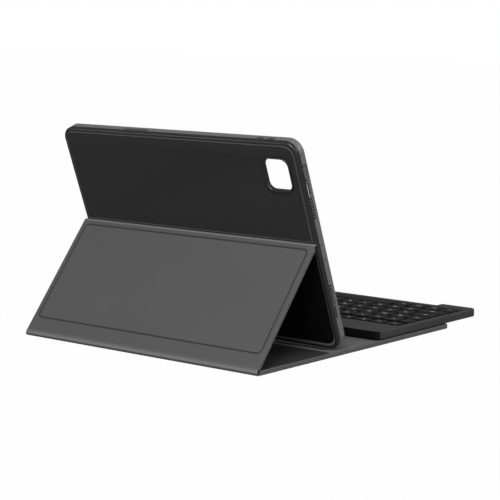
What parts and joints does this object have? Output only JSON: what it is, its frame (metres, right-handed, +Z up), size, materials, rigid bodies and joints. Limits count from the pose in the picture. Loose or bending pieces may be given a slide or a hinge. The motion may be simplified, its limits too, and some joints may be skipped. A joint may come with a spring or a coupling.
{
  "type": "tablet keyboard case",
  "caption": "Folding leather-look tablet case propped open as a stand, with a rigid tray, camera window, hinged leg and a detachable low-profile keyboard.",
  "frame": {"origin": "centre of the footprint, on the surface the base panel rests on", "axes": "+X to the typist's right, +Y away from the typist, +Z up"},
  "size_m": [0.253, 0.3234, 0.1794],
  "materials": {
    "leather": "matte fine grain",
    "suede_lining": "matte microfibre",
    "stiffener": "raw fibreglass board",
    "tray_plastic": "satin",
    "magnet_steel": "plated",
    "plate_steel": "rolled sheet",
    "deck_plastic": "fine texture",
    "shell_plastic": "fine texture",
    "key_plastic": "satin",
    "button_plastic": "satin",
    "membrane_film": "printed film",
    "silicone": "milky",
    "foot_rubber": "matte",
    "circuit_green": "solder mask",
    "switch_plastic": "satin",
    "cell_foil": "foil pouch",
    "port_metal": "plated",
    "screw_steel": "blackened",
    "light_plastic": "clear"
  },
  "bodies": {
    "base": {"base_outer_skin": "leather", "base_front_board": "stiffener", "base_rear_board": "stiffener", "base_inner_lining": "suede_lining", "rest_rail": "tray_plastic", "rail_magnets": "magnet_steel", "keyboard_hold_magnets": "magnet_steel"},
    "leg": {"leg_outer_skin": "leather", "leg_board": "stiffener", "spine_board": "stiffener", "leg_inner_lining": "suede_lining"},
    "tray": {"tray_shell": "tray_plastic", "tray_lining": "suede_lining", "camera_bezel": "tray_plastic", "back_panel_skin": "leather", "tray_magnets": "magnet_steel"},
    "power_button": {"power_button_cover": "button_plastic"},
    "keyboard": {"keyboard_bottom_shell": "shell_plastic", "keyboard_top_deck": "deck_plastic", "key_plate": "plate_steel", "circuit_membrane": "membrane_film", "dome_sheet": "silicone", "keyboard_feet": "foot_rubber", "keyboard_magnets": "magnet_steel", "keyboard_screws": "screw_steel", "control_board": "circuit_green", "battery_cells": "cell_foil", "charging_port": "port_metal", "switch_body": "switch_plastic", "pairing_switch": "switch_plastic", "status_light_pipe": "light_plastic"},
    "power_switch": {"power_switch_knob": "button_plastic"},
    "pairing_press": {"pairing_button": "button_plastic"},
    "function_keys_row": {"function_keys": "key_plastic"},
    "number_keys_row": {"number_keys": "key_plastic"},
    "upper_keys_row": {"upper_keys": "key_plastic"},
    "home_keys_row": {"home_keys": "key_plastic"},
    "lower_keys_row": {"lower_keys": "key_plastic"},
    "modifier_keys_row": {"modifier_keys": "key_plastic"},
    "space_key": {"space_bar": "key_plastic"}
  },
  "joints": [
    {"name": "rear_fold", "type": "hinge", "parent": "base", "child": "leg", "pos_m": [0, 0.16022, 0.0016], "axis": [-1, 0, 0], "range_deg": [0, 128.65]},
    {"name": "middle_fold", "type": "hinge", "parent": "leg", "child": "tray", "pos_m": [0, 0.08722, 0.09288], "axis": [1, 0, 0], "range_deg": [0, 59.61]},
    {"name": "power_button_press", "type": "slide", "parent": "tray", "child": "power_button", "axis": [1, 0, 0], "range_m": [0, 0.0003], "stiffness_N_per_m": 900, "springref_m": -0.0005},
    {"name": "keyboard_lift", "type": "slide", "parent": "base", "child": "keyboard", "axis": [0, 0, 1], "range_m": [0, 0.06]},
    {"name": "power_switch_slide", "type": "slide", "parent": "keyboard", "child": "power_switch", "axis": [0, -1, 0], "range_m": [0, 0.003]},
    {"name": "pairing_press", "type": "slide", "parent": "keyboard", "child": "pairing_press", "axis": [0, 0, -1], "range_m": [0, 0.0006], "stiffness_N_per_m": 900, "springref_m": -0.0005},
    {"name": "function_keys_press", "type": "slide", "parent": "keyboard", "child": "function_keys_row", "axis": [0, 0, -1], "range_m": [0, 0.0012], "stiffness_N_per_m": 500, "springref_m": -0.0012},
    {"name": "number_keys_press", "type": "slide", "parent": "keyboard", "child": "number_keys_row", "axis": [0, 0, -1], "range_m": [0, 0.0012], "stiffness_N_per_m": 500, "springref_m": -0.0012},
    {"name": "upper_keys_press", "type": "slide", "parent": "keyboard", "child": "upper_keys_row", "axis": [0, 0, -1], "range_m": [0, 0.0012], "stiffness_N_per_m": 500, "springref_m": -0.0012},
    {"name": "home_keys_press", "type": "slide", "parent": "keyboard", "child": "home_keys_row", "axis": [0, 0, -1], "range_m": [0, 0.0012], "stiffness_N_per_m": 500, "springref_m": -0.0012},
    {"name": "lower_keys_press", "type": "slide", "parent": "keyboard", "child": "lower_keys_row", "axis": [0, 0, -1], "range_m": [0, 0.0012], "stiffness_N_per_m": 500, "springref_m": -0.0012},
    {"name": "modifier_keys_press", "type": "slide", "parent": "keyboard", "child": "modifier_keys_row", "axis": [0, 0, -1], "range_m": [0, 0.0012], "stiffness_N_per_m": 500, "springref_m": -0.0012},
    {"name": "space_bar_press", "type": "slide", "parent": "keyboard", "child": "space_key", "axis": [0, 0, -1], "range_m": [0, 0.0012], "stiffness_N_per_m": 500, "springref_m": -0.0012}
  ],
  "couplings": [
    {"joint": "middle_fold", "follows": "rear_fold", "ratio": 0.4633}
  ]
}
